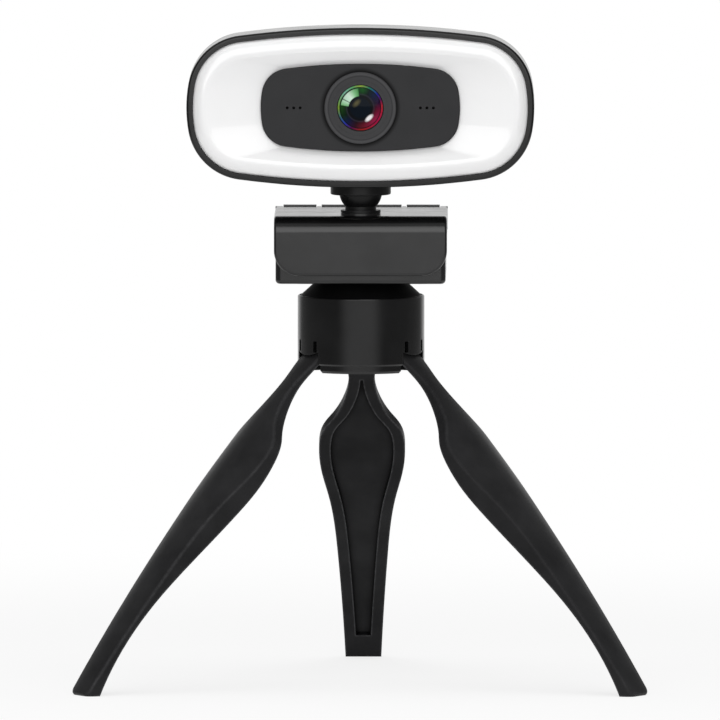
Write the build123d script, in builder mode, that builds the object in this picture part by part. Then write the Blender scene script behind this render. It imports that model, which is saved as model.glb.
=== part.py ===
from build123d import *

import os
from math import atan2, cos, degrees, hypot, radians, sin, sqrt

# Ring-light webcam on a folding mini tripod, in millimetres.
# +Z is up and the lens looks along -Y. The origin is on the table, in the middle of the footprint.

# Fits shared by every pair of pieces that meet
run_gap = 0.05  # round a pin or ball that turns
side_gap = 0.15  # beside a knuckle
leg_gap = 0.3  # beside a leg root
fold_gap = 0.4  # between faces that swing past each other
seat_gap = 0.1  # round a piece dropped into its pocket

# Tripod legs
foot_reach = 80.0  # hub axis to the outer end of a foot
foot_contact = 3.2
foot_corner = 2.0
leg_root_width = 9.2
leg_root_length = 3.0
leg_neck_width = 6.5
leg_neck_at = 13.0  # distances along the leg are from its hinge
leg_flank_width = 14.2
leg_flank_at = 26.0
leg_widest = 21.5
leg_widest_at = 35.5
leg_calf_width = 17.2
leg_calf_at = 50.0
leg_shin_width = 12.6
leg_shin_at = 73.0
leg_foot_width = 8.8
leg_bow = 3.6  # top of the bow above the line from hinge to foot
leg_bow_radius = 570.0
leg_crown_radius = 22.0  # of the rounded back, seen along the leg
leg_inside = 1.3  # inner face below the line at the hinge
leg_belly = 3.2
leg_belly_at = 42.0
leg_arch = 0.2
leg_arch_at = 80.0
leg_recess = 1.0
leg_border = 2.9
leg_recess_start = 14.0
leg_recess_margin = 8.0
leg_edge_round = 0.7

# Tripod hub
hub_clearance = 79.8  # table to the lower edge of the wall
hub_height = 16.9
hub_radius = 15.75
hub_wall = 1.6
hub_deck = 2.5
hub_rim = 0.8
hub_edge = 0.4
hub_post_radius = 3.6
pivot_radius = 11.0
pivot_rise = 4.9
pin_radius = 1.0
knuckle_radius = 2.2
lug_thickness = 1.6
stop_gap = 0.45
slot_width = 1.3
slot_height = 2.8
slot_rise = 1.1
slot_spacing = 7.4
cap_thickness = 1.9
cap_radius = 15.2
cap_edge = 0.6
cap_spigot = 1.7
cap_spigot_wall = 1.3
cap_notch_depth = 7.6
cap_screw_radius = 1.4
cap_screw_head_radius = 2.6
cap_screw_head = 1.7
cap_screw_length = 9.0
cap_head_cover = 0.2

# Screw platform on the hub
platform_radius = 15.15
platform_foot = 0.6
platform_height = 4.2
platform_top_radius = 11.2
pad_thickness = 1.0
pad_proud = 0.4
pad_margin = 0.7
pad_hole_radius = 4.2
thread_radius = 3.17
thread_reach = 5.2
bolt_flats = 11.1
bolt_head = 2.6
platform_screw_circle_radius = 9.6
platform_screw_radius = 0.9
platform_screw_head_radius = 1.8
platform_screw_head = 1.2
platform_screw_length = 4.6

# Clip
clip_width = 42.9
clip_front = -21.0  # in front of the hub axis
base_thickness = 4.7
base_front_round = 4.0
jaw_thickness = 3.0
jaw_drop = 10.0
jaw_corner = 6.2
jaw_edge = 0.7
arm_inset = 0.35  # each side of the arm, behind the base
arm_thickness = 11.9
arm_corner = 1.6
arm_edge = 1.0
arm_wall = 2.2
arm_floor = 3.0
arm_rib = 1.2
arm_pad_thickness = 1.2
arm_pad_ledge = 1.2
clip_hinge_y = 18.2
clip_hinge_radius = 2.9
clip_knuckle_proud = 0.4  # of the arm's knuckles, over the base's lugs
clip_pin_radius = 1.25
clip_pin_inset = 0.5
clip_lug = 1.0
clip_mid_lug = 3.2
clip_end_lug = 1.85
insert_radius = 4.6
insert_height = 6.5
insert_boss = 2.0
base_pad_thickness = 0.6
base_pad_inset = 6.45
base_pad_front = -8.0
base_pad_rear = 12.0
jaw_pad_inset = 6.45
jaw_pad_height = 5.0
jaw_pad_thickness = 0.8
jaw_pad_rise = 2.0

# Neck and ball joint
neck_y = -12.0
neck_radius = 4.95
neck_boss = 0.4
neck_lift = 0.1
stud_flange = 0.65
stud_stem_radius = 3.85
stud_shaft_radius = 1.9
stud_pocket_radius = 3.1
stud_pocket = 1.8
stud_washer_radius = 2.9
stud_washer = 0.6
stud_screw_radius = 0.8
stud_screw_head_radius = 1.6
stud_screw_head = 1.0
stud_screw_length = 5.0
ball_radius = 5.35
ball_rise = 4.6
ball_exposed = 0.75  # ball centre above the socket's lower edge
seat_wall = 0.8
seat_rise = 3.0
socket_radius = 7.5
socket_show = 2.45
socket_roof = 1.1
socket_edge = 0.4
socket_ear_width = 24.0
socket_ear_depth = 5.0
socket_ear = 1.4

# Camera head, seen from the front as ovals of eight arcs that meet at the same two angles
oval_side_angle = 10.06
oval_top_angle = 82.46
head_half_width = 43.1
head_half_height = 19.85
head_corner_radius = 14.6
panel_half_width = 24.6
panel_half_height = 10.8
panel_corner_radius = 6.6
head_forward = 12.8  # rim ahead of the neck axis
bezel_depth = 5.0
rim_width = 1.53
rim_round = 0.7
ledge_width = 2.4
ledge_depth = 2.2
bezel_tongue = 1.6
bezel_tongue_wall = 1.0
housing_depth = 18.0
housing_wall = 1.8
housing_round = 9.0
boss_radius = 3.2
boss_x = 28.0
boss_z = 7.5
housing_screw_radius = 1.1
housing_screw_head_radius = 2.2
housing_screw_head = 1.3
housing_screw_sink = 1.8
gland_radius = 3.4
gland_bore = 1.9
gland_flange_radius = 4.6
gland_flange = 1.2
gland_lip = 0.8
gland_drop = 5.0

# Light ring
shoulder_width = 4.0
shoulder_rise = 0.8
shoulder_turn_width = 1.1
shoulder_turn_rise = 0.4
diffuser_edge = 0.5
diffuser_dish = 1.0
led_board_thickness = 1.2
led_count = 24
led_length = 2.2
led_width = 1.4
led_height = 0.9
frame_thickness = 2.5

# Lens panel and optics
panel_proud = 0.3
panel_thickness = 1.8
panel_wall = 1.4
panel_round = 0.4
sound_hole_radius = 0.38
sound_hole_pitch = 1.6
sound_hole_x = 16.5
mic_radius = 2.4
mic_depth = 1.6
mic_collar = 0.8
lens_ring_radius = 8.9
lens_ring_land = 7.0
lens_ring_proud = 0.6
lens_ring_step_height = 0.15
lens_ring_lip = 1.0
lens_ring_bore = 5.85
lens_spigot_radius = 7.3
lens_ring_round = 0.3
barrel_radius = 6.6
barrel_depth = 13.0
element_radius = 5.6
element_edge = 1.2
element_crown = 0.9
inner_element_radius = 4.2
inner_element_edge = 1.4
inner_element_crown = 1.0
inner_element_depth = 5.2
aperture_radius = 2.0
aperture_thickness = 0.6
holder_wall = 1.3
holder_tube = 4.5
holder_square = 18.0
holder_base = 1.6
filter_square = 7.0
filter_thickness = 0.5
sensor_square = 6.4
sensor_thickness = 0.9
camera_board_width = 36.0
camera_board_height = 22.0
camera_board_thickness = 1.2
camera_board_depth = 15.0
board_post_radius = 2.3
board_post_x = 14.5
board_screw_radius = 0.9
board_screw_head_radius = 1.8
board_screw_head = 1.1
board_screw_length = 4.5
connector_width = 8.0
connector_height = 4.0
connector_depth = 3.0
connector_rise = 5.0

# Heights that follow from the stack of pieces
hub_top = hub_clearance + hub_height
pivot_height = hub_clearance + pivot_rise
deck_top = hub_top - hub_rim
deck_bottom = deck_top - hub_deck
platform_top = deck_top + platform_height
arm_bottom = platform_top + pad_proud
arm_top = arm_bottom + arm_thickness
base_bottom = arm_top + fold_gap
base_top = base_bottom + base_thickness
clip_hinge_height = base_top - clip_hinge_radius
boss_top = base_top + neck_boss
stud_base = boss_top + neck_lift
ball_height = stud_base + stud_flange + ball_rise
socket_bottom = ball_height - ball_exposed
head_height = socket_bottom + socket_show + head_half_height
head_front = neck_y - head_forward
head_depth = bezel_depth + housing_depth
jaw_back = clip_front + jaw_thickness
clip_rear = clip_hinge_y + clip_hinge_radius

# The leg runs along the line from its hinge to the outer end of its foot
leg_length = hypot(foot_reach - pivot_radius, pivot_height)
leg_lean = degrees(atan2(foot_reach - pivot_radius, pivot_height))
leg_angles = {"leg_rear": 90.0, "leg_left": 210.0, "leg_right": 330.0}
between_legs = leg_angles["leg_rear"] + 60.0

HEAD = (head_half_width, head_half_height, head_corner_radius)
PANEL = (panel_half_width, panel_half_height, panel_corner_radius)

os.makedirs("parts", exist_ok=True)


def save(piece, name):
    """Label a finished piece and write it under its own name."""
    piece.part.label = name
    export_step(piece.part, f"parts/{name}.step")


def leg_planes(centre_y, angle):
    """Side plane (along the leg, outward) and flat plane (along the leg, across) at a leg's hinge."""
    out = Vector(cos(radians(angle)), sin(radians(angle)), 0)
    across = Vector(out.Y, -out.X, 0)
    up = Vector(0, 0, 1)
    lean = radians(leg_lean)
    along = out * sin(lean) - up * cos(lean)
    normal = out * cos(lean) + up * sin(lean)
    hinge = out * pivot_radius + up * pivot_height + Vector(0, centre_y, 0)
    return Plane(hinge, x_dir=along, z_dir=across), Plane(hinge, x_dir=along, z_dir=normal)


def leaf(plane, inset, start, end):
    """Sketch of the leg's leaf outline, drawn in by inset, between two distances along the leg."""
    beyond = leg_length + leg_widest
    with BuildSketch(plane) as outline:
        with BuildLine():
            straight = Line((0, leg_root_width / 2 - inset), (leg_root_length, leg_root_width / 2 - inset))
            flare = Spline(
                straight @ 1,
                (leg_neck_at, leg_neck_width / 2 - inset),
                (leg_flank_at, leg_flank_width / 2 - inset),
                (leg_widest_at, leg_widest / 2 - inset),
                tangents=((1, 0), (1, 0)),
            )
            taper = Spline(
                flare @ 1,
                (leg_calf_at, leg_calf_width / 2 - inset),
                (leg_shin_at, leg_shin_width / 2 - inset),
                (leg_length, leg_foot_width / 2 - inset),
                tangents=((1, 0), (1, -0.045)),
            )
            Polyline(taper @ 1, (beyond, leg_foot_width / 2 - inset), (beyond, 0))
            Line((0, 0), straight @ 0)
            mirror(about=Plane.XZ)
        make_face()
        with Locations(((start + end) / 2, 0)):
            Rectangle(end - start, leg_widest, mode=Mode.INTERSECT)
    return outline.sketch


def leg_bar(side):
    """Round bar, bent along the leg's bow and longer than the leg, whose top is the leg's crowned back."""
    half_turn = degrees(leg_length / leg_bow_radius)
    with BuildPart() as bar:
        with BuildLine(side) as bow:
            bow_centre = (leg_length / 2, leg_bow - leg_bow_radius)
            CenterArc(bow_centre, leg_bow_radius, 90 + half_turn, -2 * half_turn)
        with BuildSketch(Plane(bow.line @ 0, x_dir=side.z_dir, z_dir=bow.line % 0)):
            with Locations((0, leg_crown_radius)):
                Circle(leg_crown_radius)
        sweep()
    return bar.part


def leg_inner_line(rise):
    """Side view of the leg's inner face, raised by rise: from the hinge by belly and arch to the foot."""
    foot_in = (-foot_contact * sin(radians(leg_lean)), -foot_contact * cos(radians(leg_lean)))
    return Spline(
        (0, rise - leg_inside),
        (leg_neck_at, rise),
        (leg_belly_at, rise - leg_belly),
        (leg_arch_at, rise + leg_arch),
        (leg_length + foot_in[0], rise + foot_in[1]),
    )


def make_leg(centre_y, angle):
    """One moulded leg: leaf outline, crowned and bowed back, arched inner face, recess and hinge knuckle."""
    side, flat = leg_planes(centre_y, angle)
    beside = side.offset(-leg_widest)
    below = flat.offset(-leg_widest)
    down_leg = Axis(side.origin, side.x_dir)
    with BuildPart() as recess:
        with BuildSketch(beside):
            with BuildLine():
                floor = leg_inner_line(leg_recess)
                Polyline(floor @ 1, (leg_length, -leg_widest), (0, -leg_widest), floor @ 0)
            make_face()
        extrude(amount=2 * leg_widest)
        window = leaf(below, leg_border, leg_recess_start, leg_length - leg_recess_margin)
        extrude(window, amount=2 * leg_widest, mode=Mode.INTERSECT)
    with BuildPart() as leg:
        with BuildSketch(beside):
            with BuildLine():
                inner = leg_inner_line(0)
                Polyline(inner @ 1, (leg_length, 0), (leg_length, leg_widest), (0, leg_widest), inner @ 0)
            make_face()
        extrude(amount=2 * leg_widest)
        extrude(leaf(below, 0, 0, leg_length), amount=2 * leg_widest, mode=Mode.INTERSECT)
        toe_corners = leg.edges().filter_by(Axis((0, 0, 0), side.y_dir)).sort_by(down_leg)[-2:]
        fillet(toe_corners, foot_corner)
        add(leg_bar(side), mode=Mode.INTERSECT)
        back = leg.faces().sort_by(Axis(side.origin, side.y_dir))[-1]
        back_edges = back.edges().filter_by_position(down_leg, foot_corner, leg_length - foot_corner)
        fillet(back_edges, leg_edge_round)
        with BuildSketch(side):
            Circle(knuckle_radius)
        extrude(amount=leg_root_width / 2, both=True)
        with BuildSketch(side):
            Circle(pin_radius + run_gap)
        extrude(amount=leg_widest, both=True, mode=Mode.SUBTRACT)
        add(recess.part, mode=Mode.SUBTRACT)
    return leg


# The footprint's middle is the origin, so the hub axis stands where the three feet put it
rear_reach = make_leg(0, leg_angles["leg_rear"]).part.bounding_box().max.Y
front_reach = make_leg(0, leg_angles["leg_right"]).part.bounding_box().min.Y
hub_y = -(rear_reach + front_reach) / 2
print("hub axis at y", round(hub_y, 3))

for leg_name, leg_angle in leg_angles.items():
    save(make_leg(hub_y, leg_angle), leg_name)


def level(height, y=0.0):
    """Horizontal plane on the hub axis, moved back by y."""
    return Plane((0, hub_y + y, height))


def side_view(x=0.0):
    """Upright plane seen from the right: back from the hub axis, then up from the table."""
    return Plane((x, hub_y, 0), x_dir=(0, 1, 0), z_dir=(1, 0, 0))


def front_view(y, height):
    """Upright plane seen from the front."""
    return Plane((0, hub_y + y, height), x_dir=(1, 0, 0), z_dir=(0, -1, 0))


def face_at(depth):
    """Upright plane through the middle of the head, depth behind its rim; sizes grow backward as minus."""
    return front_view(head_front + depth, head_height)


def upright(y):
    """Upright axis behind the hub axis by y."""
    return Axis((0, hub_y + y, 0), (0, 0, 1))


hub_bore = hub_radius - hub_wall
post_bottom = hub_clearance + cap_spigot
cap_bottom = hub_clearance - cap_thickness
leg_opening = leg_root_width + 2 * leg_gap
lug_middle = leg_opening / 2 + lug_thickness / 2
lug_outside = leg_opening / 2 + lug_thickness
lug_foot = pivot_height - knuckle_radius
lug_inner = pivot_radius - knuckle_radius
lug_outer = sqrt((hub_radius - hub_wall / 2) ** 2 - lug_outside**2)

# The wall above each leg stops it: its slanted lower edge clears the leg's back where that leaves the wall
leg_to_wall = (hub_radius - pivot_radius) / sin(radians(leg_lean))
bow_drop = leg_bow_radius - sqrt(leg_bow_radius**2 - (leg_length / 2 - leg_to_wall) ** 2)
stop_line = leg_bow - bow_drop + stop_gap

with BuildPart() as hub_shell:
    with BuildSketch(level(hub_clearance)):
        Circle(hub_radius)
    extrude(amount=hub_height)
    fillet(hub_shell.edges().group_by(Axis.Z)[-1], hub_edge)
    chamfer(hub_shell.edges().group_by(Axis.Z)[0], hub_edge)
    with BuildSketch(level(hub_top)):
        Circle(platform_radius + seat_gap)
    extrude(amount=-hub_rim, mode=Mode.SUBTRACT)
    with BuildSketch(level(hub_clearance)):
        Circle(hub_bore)
    extrude(amount=deck_bottom - hub_clearance, mode=Mode.SUBTRACT)
    with BuildSketch(level(lug_foot)):
        with PolarLocations(0, len(leg_angles), start_angle=leg_angles["leg_rear"]):
            with Locations(
                ((lug_inner + lug_outer) / 2, lug_middle),
                ((lug_inner + lug_outer) / 2, -lug_middle),
            ):
                Rectangle(lug_outer - lug_inner, lug_thickness)
    extrude(amount=deck_bottom - lug_foot)
    with BuildSketch(level(post_bottom)):
        Circle(hub_post_radius)
    extrude(amount=deck_bottom - post_bottom)
    with BuildSketch(level(pivot_height + slot_rise)):
        with PolarLocations(hub_radius, len(leg_angles), start_angle=leg_angles["leg_rear"]):
            with GridLocations(1, slot_spacing, 1, 2):
                Rectangle(4 * hub_wall, slot_width)
    extrude(amount=-slot_height, mode=Mode.SUBTRACT)
    for leg_angle in leg_angles.values():
        leg_side = leg_planes(hub_y, leg_angle)[0]
        with BuildSketch(leg_side):
            with Locations((hub_radius / 2, stop_line - hub_radius / 4)):
                Rectangle(hub_radius, hub_radius / 2)
        extrude(amount=leg_opening / 2, both=True, mode=Mode.SUBTRACT)
        with BuildSketch(leg_side):
            Circle(pin_radius)
        extrude(amount=lug_outside, both=True, mode=Mode.SUBTRACT)
    with BuildSketch(level(post_bottom)):
        Circle(cap_screw_radius)
    extrude(amount=cap_screw_length, mode=Mode.SUBTRACT)
    with BuildSketch(level(deck_bottom)):
        with PolarLocations(platform_screw_circle_radius, len(leg_angles), start_angle=between_legs):
            Circle(platform_screw_radius + seat_gap)
    extrude(amount=hub_deck, mode=Mode.SUBTRACT)
save(hub_shell, "hub_shell")

with BuildPart() as leg_pins:
    for leg_angle in leg_angles.values():
        with BuildSketch(leg_planes(hub_y, leg_angle)[0]):
            Circle(pin_radius)
        extrude(amount=lug_outside, both=True)
save(leg_pins, "leg_pins")

notch_middle = cap_notch_depth + hub_radius / 2
with BuildPart() as hub_base_cap:
    with BuildSketch(level(cap_bottom)):
        Circle(cap_radius)
    extrude(amount=cap_thickness)
    chamfer(hub_base_cap.edges().group_by(Axis.Z)[0], cap_edge)
    with BuildSketch(level(hub_clearance)):
        Circle(hub_bore - seat_gap)
        Circle(hub_bore - seat_gap - cap_spigot_wall, mode=Mode.SUBTRACT)
    extrude(amount=cap_spigot)
    with BuildSketch(level(hub_clearance)):
        Circle(hub_post_radius)
    extrude(amount=cap_spigot)
    with BuildSketch(level(cap_bottom)):
        with PolarLocations(notch_middle, len(leg_angles), start_angle=leg_angles["leg_rear"]):
            Rectangle(hub_radius, leg_opening)
    extrude(amount=cap_thickness + cap_spigot, mode=Mode.SUBTRACT)
    with BuildSketch(level(cap_bottom)):
        Circle(cap_screw_head_radius + seat_gap)
    extrude(amount=cap_head_cover + cap_screw_head, mode=Mode.SUBTRACT)
    with BuildSketch(level(cap_bottom)):
        Circle(cap_screw_radius + seat_gap)
    extrude(amount=cap_thickness + cap_spigot, mode=Mode.SUBTRACT)
save(hub_base_cap, "hub_base_cap")

with BuildPart() as base_cap_screw:
    with BuildSketch(level(cap_bottom + cap_head_cover)):
        Circle(cap_screw_head_radius)
    extrude(amount=cap_screw_head)
    chamfer(base_cap_screw.edges().group_by(Axis.Z)[0], cap_screw_head / 4)
    with BuildSketch(level(cap_bottom + cap_head_cover + cap_screw_head)):
        Circle(cap_screw_radius)
    extrude(amount=cap_screw_length)
save(base_cap_screw, "base_cap_screw")

pad_radius = platform_top_radius - pad_margin
with BuildPart() as top_platform:
    with BuildSketch(front_view(0, 0)):
        with BuildLine():
            Polyline(
                (0, deck_top),
                (platform_radius, deck_top),
                (platform_radius, deck_top + platform_foot),
                (platform_top_radius, platform_top),
                (0, platform_top),
                close=True,
            )
        make_face()
    revolve(axis=upright(0))
    with BuildSketch(level(platform_top)):
        Circle(pad_radius + seat_gap)
    extrude(amount=pad_proud - pad_thickness, mode=Mode.SUBTRACT)
    with BuildSketch(level(deck_top)):
        RegularPolygon(bolt_flats / 2 + seat_gap, 6, major_radius=False)
    extrude(amount=bolt_head, mode=Mode.SUBTRACT)
    with BuildSketch(level(deck_top)):
        Circle(thread_radius + seat_gap)
    extrude(amount=platform_height, mode=Mode.SUBTRACT)
    with BuildSketch(level(deck_top)):
        with PolarLocations(platform_screw_circle_radius, len(leg_angles), start_angle=between_legs):
            Circle(platform_screw_radius)
    extrude(amount=platform_screw_length - hub_deck, mode=Mode.SUBTRACT)
save(top_platform, "top_platform")

with BuildPart() as platform_pad:
    with BuildSketch(level(platform_top + pad_proud)):
        Circle(pad_radius)
        Circle(pad_hole_radius, mode=Mode.SUBTRACT)
    extrude(amount=-pad_thickness)
save(platform_pad, "platform_pad")

with BuildPart() as platform_screws:
    with BuildSketch(level(deck_bottom)):
        with PolarLocations(platform_screw_circle_radius, len(leg_angles), start_angle=between_legs):
            Circle(platform_screw_head_radius)
    extrude(amount=-platform_screw_head)
    with BuildSketch(level(deck_bottom)):
        with PolarLocations(platform_screw_circle_radius, len(leg_angles), start_angle=between_legs):
            Circle(platform_screw_radius)
    extrude(amount=platform_screw_length)
save(platform_screws, "platform_screws")

with BuildPart() as tripod_screw:
    with BuildSketch(level(deck_top)):
        RegularPolygon(bolt_flats / 2, 6, major_radius=False)
    extrude(amount=bolt_head)
    with BuildSketch(level(deck_top + bolt_head)):
        Circle(thread_radius)
    extrude(amount=arm_bottom + thread_reach - deck_top - bolt_head)
    chamfer(tripod_screw.edges().group_by(Axis.Z)[-1], thread_radius / 6)
save(tripod_screw, "tripod_screw")

# Clip: knuckles of the arm between lugs of the base, along one pin
arm_front = jaw_back + fold_gap
arm_width = clip_width - 2 * arm_inset
knuckle_reach = clip_hinge_radius + clip_knuckle_proud
clip_knuckle = (clip_width - clip_mid_lug) / 4 - (clip_lug + clip_end_lug) / 2 - 2 * side_gap
base_pad_width = clip_width - 2 * base_pad_inset
jaw_pad_width = clip_width - 2 * jaw_pad_inset
inner_knuckle_x = clip_mid_lug / 2 + side_gap + clip_knuckle / 2
outer_knuckle_x = inner_knuckle_x + clip_knuckle + clip_lug + 2 * side_gap
knuckle_places = (-outer_knuckle_x, -inner_knuckle_x, inner_knuckle_x, outer_knuckle_x)
cavity_front = arm_front + arm_wall
cavity_rear = clip_hinge_y - clip_hinge_radius - fold_gap - arm_wall
cavity_length = cavity_rear - cavity_front
cavity_middle = (cavity_front + cavity_rear) / 2
cavity_width = arm_width - 2 * arm_wall - 2 * arm_pad_ledge
insert_boss_radius = insert_radius + insert_boss

with BuildPart() as rear_arm:
    with BuildSketch(level(arm_bottom, (arm_front + clip_rear) / 2)):
        RectangleRounded(arm_width, clip_rear - arm_front, arm_corner)
    extrude(amount=arm_thickness)
    fillet(rear_arm.faces().sort_by(Axis.Z)[0].edges(), arm_edge)
    with BuildSketch(side_view()):
        with Locations((clip_hinge_y, clip_hinge_height)):
            Circle(clip_hinge_radius + fold_gap)
    extrude(amount=arm_width, both=True, mode=Mode.SUBTRACT)
    with BuildSketch(level(arm_top, cavity_middle)):
        Rectangle(cavity_width, cavity_length - 2 * arm_pad_ledge)
    extrude(amount=arm_floor - arm_thickness, mode=Mode.SUBTRACT)
    with BuildSketch(level(arm_bottom + arm_floor)):
        Circle(insert_boss_radius)
        with Locations((0, cavity_middle)):
            Rectangle(cavity_width, arm_rib)
            Rectangle(arm_rib, cavity_length - 2 * arm_pad_ledge)
    extrude(amount=arm_thickness - arm_floor)
    with BuildSketch(level(arm_top, cavity_middle)):
        Rectangle(cavity_width + 2 * arm_pad_ledge, cavity_length)
    extrude(amount=-arm_pad_thickness, mode=Mode.SUBTRACT)
    with BuildSketch(level(arm_bottom)):
        Circle(insert_radius)
    extrude(amount=insert_height, mode=Mode.SUBTRACT)
    for knuckle_x in knuckle_places:
        with BuildSketch(side_view(knuckle_x)):
            with Locations((clip_hinge_y, clip_hinge_height)):
                Circle(knuckle_reach)
            with Locations((clip_hinge_y, clip_hinge_height - clip_hinge_radius)):
                Rectangle(2 * knuckle_reach, 2 * clip_hinge_radius)
        extrude(amount=clip_knuckle / 2, both=True)
    with BuildSketch(side_view()):
        with Locations((clip_hinge_y, clip_hinge_height)):
            Circle(clip_pin_radius + run_gap)
    extrude(amount=arm_width, both=True, mode=Mode.SUBTRACT)
save(rear_arm, "rear_arm")

with BuildPart() as arm_pad:
    with BuildSketch(level(arm_top, cavity_middle)):
        Rectangle(cavity_width + 2 * arm_pad_ledge - 2 * seat_gap, cavity_length - 2 * seat_gap)
    extrude(amount=-arm_pad_thickness)
save(arm_pad, "arm_pad")

with BuildPart() as thread_insert:
    with BuildSketch(level(arm_bottom)):
        Circle(insert_radius)
        Circle(thread_radius + run_gap, mode=Mode.SUBTRACT)
    extrude(amount=insert_height)
save(thread_insert, "thread_insert")

jaw_bottom = base_bottom - jaw_drop
with BuildPart() as clip_base:
    with BuildSketch(side_view()):
        with BuildLine():
            Polyline(
                (clip_front, jaw_bottom),
                (jaw_back, jaw_bottom),
                (jaw_back, base_bottom),
                (clip_hinge_y, base_bottom),
                (clip_hinge_y, base_top),
                (clip_front, base_top),
                close=True,
            )
        make_face()
    extrude(amount=clip_width / 2, both=True)
    brow = clip_base.edges().filter_by(Axis.X).sort_by_distance((0, hub_y + clip_front, base_top))[0]
    fillet(brow, base_front_round)
    fillet(clip_base.edges().filter_by(Axis.Y).group_by(Axis.Z)[0], jaw_corner)
    front_face = clip_base.faces().filter_by(Axis.Y).sort_by(Axis.Y)[0]
    fillet(front_face.edges().sort_by(Axis.Z)[:-1], jaw_edge)
    with BuildSketch(side_view()):
        with Locations((clip_hinge_y, clip_hinge_height)):
            Circle(clip_hinge_radius)
    extrude(amount=clip_width / 2, both=True)
    for knuckle_x in knuckle_places:
        with BuildSketch(side_view(knuckle_x)):
            with Locations((clip_hinge_y, clip_hinge_height)):
                Rectangle(2 * (knuckle_reach + fold_gap), 4 * clip_hinge_radius)
        extrude(amount=clip_knuckle / 2 + side_gap, both=True, mode=Mode.SUBTRACT)
    with BuildSketch(side_view()):
        with Locations((clip_hinge_y, clip_hinge_height)):
            Circle(clip_pin_radius)
    extrude(amount=clip_width, both=True, mode=Mode.SUBTRACT)
    with BuildSketch(level(base_top - base_front_round, neck_y)):
        Circle(neck_radius)
    extrude(amount=base_front_round + neck_boss)
    with BuildSketch(level(base_bottom, neck_y)):
        Circle(stud_pocket_radius)
    extrude(amount=stud_pocket, mode=Mode.SUBTRACT)
    with BuildSketch(level(base_bottom, neck_y)):
        Circle(stud_shaft_radius + run_gap)
    extrude(amount=base_thickness + neck_boss, mode=Mode.SUBTRACT)
    with BuildSketch(level(base_bottom, (base_pad_front + base_pad_rear) / 2)):
        Rectangle(base_pad_width + 2 * seat_gap, base_pad_rear - base_pad_front + 2 * seat_gap)
    extrude(amount=base_pad_thickness, mode=Mode.SUBTRACT)
    with BuildSketch(front_view(jaw_back, jaw_bottom + jaw_pad_rise + jaw_pad_height / 2)):
        Rectangle(jaw_pad_width + 2 * seat_gap, jaw_pad_height + 2 * seat_gap)
    extrude(amount=jaw_pad_thickness, mode=Mode.SUBTRACT)
save(clip_base, "clip_base")

with BuildPart() as base_pad:
    with BuildSketch(level(base_bottom, (base_pad_front + base_pad_rear) / 2)):
        Rectangle(base_pad_width, base_pad_rear - base_pad_front)
    extrude(amount=base_pad_thickness)
save(base_pad, "base_pad")

with BuildPart() as jaw_pad:
    with BuildSketch(front_view(jaw_back, jaw_bottom + jaw_pad_rise + jaw_pad_height / 2)):
        Rectangle(jaw_pad_width, jaw_pad_height)
    extrude(amount=jaw_pad_thickness)
save(jaw_pad, "jaw_pad")

with BuildPart() as clip_hinge_pin:
    with BuildSketch(side_view()):
        with Locations((clip_hinge_y, clip_hinge_height)):
            Circle(clip_pin_radius)
    extrude(amount=clip_width / 2 - clip_pin_inset, both=True)
save(clip_hinge_pin, "clip_hinge_pin")

# Neck: a ball stud that swivels in the base, held from below by a washer and a screw
stud_foot = base_bottom + stud_pocket - run_gap
stem_meets_ball = ball_height - sqrt(ball_radius**2 - stud_stem_radius**2)
with BuildPart() as ball_stud:
    with BuildSketch(front_view(neck_y, 0)):
        with BuildLine():
            stem = Polyline(
                (0, stud_foot),
                (stud_shaft_radius, stud_foot),
                (stud_shaft_radius, stud_base),
                (neck_radius, stud_base),
                (neck_radius, stud_base + stud_flange),
                (stud_stem_radius, stud_base + stud_flange),
                (stud_stem_radius, stem_meets_ball),
            )
            ThreePointArc(stem @ 1, (ball_radius, ball_height), (0, ball_height + ball_radius))
            Line((0, ball_height + ball_radius), (0, stud_foot))
        make_face()
    revolve(axis=upright(neck_y))
    with BuildSketch(level(stud_foot, neck_y)):
        Circle(stud_screw_radius)
    extrude(amount=stud_screw_length - stud_washer, mode=Mode.SUBTRACT)
save(ball_stud, "ball_stud")

with BuildPart() as stud_washer_ring:
    with BuildSketch(level(stud_foot, neck_y)):
        Circle(stud_washer_radius)
        Circle(stud_screw_radius, mode=Mode.SUBTRACT)
    extrude(amount=-stud_washer)
save(stud_washer_ring, "stud_washer")

with BuildPart() as stud_screw:
    with BuildSketch(level(stud_foot - stud_washer, neck_y)):
        Circle(stud_screw_head_radius)
    extrude(amount=-stud_screw_head)
    with BuildSketch(level(stud_foot - stud_washer, neck_y)):
        Circle(stud_screw_radius)
    extrude(amount=stud_screw_length)
save(stud_screw, "stud_screw")

seat_inner = ball_radius + run_gap
seat_outer = seat_inner + seat_wall
with BuildPart() as ball_seat:
    with BuildSketch(front_view(neck_y, ball_height)):
        Circle(seat_outer)
        Circle(seat_inner, mode=Mode.SUBTRACT)
        with Locations((seat_outer / 2, (seat_rise - ball_exposed + seat_gap) / 2)):
            Rectangle(seat_outer, seat_rise + ball_exposed - seat_gap, mode=Mode.INTERSECT)
    revolve(axis=upright(neck_y))
save(ball_seat, "ball_seat")

housing_floor = head_height - head_half_height + housing_wall
socket_top = ball_height + seat_outer + run_gap + socket_roof
with BuildPart() as socket_cup:
    with BuildSketch(level(socket_bottom, neck_y)):
        Circle(socket_radius)
    extrude(amount=socket_top - socket_bottom)
    fillet(socket_cup.edges().group_by(Axis.Z)[0], socket_edge)
    with BuildSketch(level(housing_floor + fold_gap, neck_y)):
        Rectangle(socket_ear_width, socket_ear_depth)
    extrude(amount=socket_ear)
    with Locations((0, hub_y + neck_y, ball_height)):
        Sphere(seat_outer + run_gap, mode=Mode.SUBTRACT)
save(socket_cup, "socket_cup")


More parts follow.
